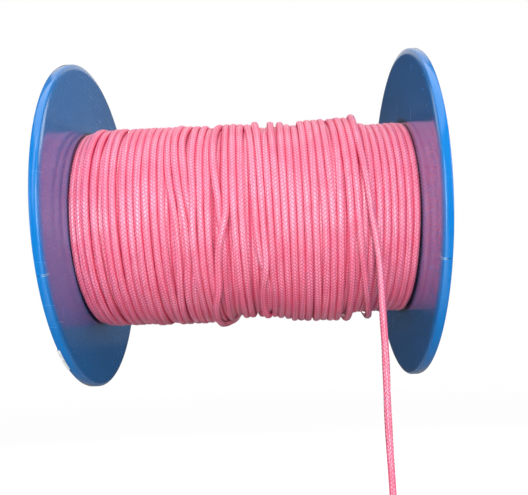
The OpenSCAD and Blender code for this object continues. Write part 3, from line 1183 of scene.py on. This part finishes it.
FLOOR_Z = -0.30
FLOOR_SIZE = 30.0
FLOOR_PALE = (0.8, 0.8, 0.8, 1)
FLOOR_DIM = (0.12, 0.12, 0.12, 1)
PALE_ACROSS = (0.12, 0.3)
PALE_BACK = (-0.3, -0.05)
FLOOR_LIFT = 0.92
WHITE_FROM = (0.6, 2.5)
FRONT_LIGHT = 0.2
ROOM_LIGHT = 0.18
WALLS_TURN = (-0.8, 0.1)
CLOTH_SIDE = (-0.30, 0.95, 0.05)
CLOTH_EDGE = (0.75, 0.93)
CLOTH_LIGHT = 0.05
GLOSSY_SHARE = 0.01


def background_rays(tree):
    """One where a ray sees the background: straight, through glass, and part in gloss."""
    rays = add_node(tree, "ShaderNodeLightPath").outputs
    straight = maths(tree, "ADD", rays["Is Camera Ray"], rays["Is Transmission Ray"])
    glossy = times(tree, rays["Is Glossy Ray"], GLOSSY_SHARE)
    return maths(tree, "ADD", straight, glossy, clamp=True)


def studio_floor():
    shape = bmesh.new()
    bmesh.ops.create_grid(shape, x_segments=2, y_segments=2, size=FLOOR_SIZE / 2 / MM)
    bmesh.ops.translate(shape, vec=(0, 0, FLOOR_Z / MM), verts=shape.verts)
    floor = mesh_object("studio_floor", shape)
    made, tree, shader = new_material("pale_floor", Roughness=0.9)
    tree.nodes.remove(shader)
    point = object_point(tree)
    away = add_node(tree, "ShaderNodeVectorMath", {0: point}, operation="LENGTH").outputs["Value"]
    seen = background_rays(tree)
    place = add_node(tree, "ShaderNodeSeparateXYZ", {"Vector": point}).outputs
    aside = span(tree, maths(tree, "ABSOLUTE", place["X"]), *PALE_ACROSS)
    dim = maths(tree, "MAXIMUM", span(tree, place["Y"], *PALE_BACK), aside)
    pale = blended(tree, dim, FLOOR_PALE, FLOOR_DIM)
    diffuse = add_node(tree, "ShaderNodeBsdfDiffuse", {"Color": pale})
    lift = add_node(tree, "ShaderNodeEmission", {"Strength": times(tree, seen, FLOOR_LIFT)})
    near = add_node(tree, "ShaderNodeAddShader", {0: diffuse.outputs[0], 1: lift.outputs[0]})
    white = add_node(tree, "ShaderNodeEmission", {"Strength": 1.0})
    whiteness = times(tree, span(tree, away, *WHITE_FROM), seen)
    mixed = add_node(
        tree, "ShaderNodeMixShader", {0: whiteness, 1: near.outputs[0], 2: white.outputs[0]}
    )
    wire(tree, tree.nodes["Material Output"], Surface=mixed.outputs[0])
    dress(floor, made)


def pale_room():
    world = bpy.data.worlds.new("pale_room")
    bpy.context.scene.world = world
    world.use_nodes = True
    tree = world.node_tree
    way = add_node(tree, "ShaderNodeTexCoord").outputs["Generated"]
    towards = add_node(
        tree, "ShaderNodeVectorMath", {0: way, 1: CLOTH_SIDE}, operation="DOT_PRODUCT"
    ).outputs["Value"]
    facing = add_node(tree, "ShaderNodeSeparateXYZ", {"Vector": way}).outputs["Y"]
    walls = span(tree, facing, *WALLS_TURN, FRONT_LIGHT, ROOM_LIGHT)
    room = span(tree, towards, *CLOTH_EDGE, walls, CLOTH_LIGHT)
    background = tree.nodes["Background"]
    wire(tree, background, Strength=span(tree, background_rays(tree), 0.0, 1.0, room, 1.0))
    background.inputs["Color"].default_value = (1, 1, 1, 1)


def soft_lamp(name, place, wide, high, power):
    lamp = bpy.data.lights.new(name, "AREA")
    lamp.shape = "ELLIPSE"
    lamp.size = wide
    lamp.size_y = high
    lamp.energy = power
    made = bpy.data.objects.new(name, lamp)
    made.location = place
    made.rotation_euler = (-Vector(place)).to_track_quat("-Z", "Y").to_euler()
    bpy.context.scene.collection.objects.link(made)


studio_floor()
pale_room()
soft_lamp("ceiling_lamp", (0.0, -0.3, 0.95), 1.4, 1.3, 7.5)
soft_lamp("front_lamp", (-0.03, -1.0, 0.05), 0.2, 0.9, 12)
soft_lamp("left_rim_lamp", (-0.45, -0.9, 0.5), 0.16, 1.0, 1.0)
soft_lamp("right_lamp", (0.95, -0.45, 0.25), 0.8, 0.8, 5)
soft_lamp("left_lamp", (-0.95, -0.55, 0.15), 0.8, 0.8, 1.5)
soft_lamp("right_back_lamp", (0.85, 0.6, 0.35), 0.8, 0.8, 4)
soft_lamp("left_back_lamp", (-0.85, 0.6, 0.35), 0.8, 0.8, 2)
soft_lamp("high_back_lamp", (0.0, 0.7, 1.0), 1.2, 1.2, 2)
soft_lamp("low_back_lamp", (0.03, 1.0, 0.25), 0.15, 0.15, 10)

# ---- Camera -----------------------------------------------------------------------------
# It stands close in front of the spool and a little below the axis, looking slightly up.

CAMERA_PLACE = (0.01109, -0.28639, -0.0505)
CAMERA_TURN = (92.334, 2.320, 1.100)
CAMERA_SENSOR = 36.0
CAMERA_LENS = 40.636
CAMERA_SHIFT = (-0.0012, 0.1063)
CAMERA_NEAREST = 0.01

camera = bpy.data.cameras.new("camera")
camera.sensor_width = CAMERA_SENSOR
camera.lens = CAMERA_LENS
camera.shift_x, camera.shift_y = CAMERA_SHIFT
camera.clip_start = CAMERA_NEAREST
viewpoint = bpy.data.objects.new("camera", camera)
viewpoint.location = CAMERA_PLACE
viewpoint.rotation_euler = Euler([radians(angle) for angle in CAMERA_TURN])
bpy.context.scene.collection.objects.link(viewpoint)
bpy.context.scene.camera = viewpoint
bpy.context.scene.view_settings.view_transform = "Standard"
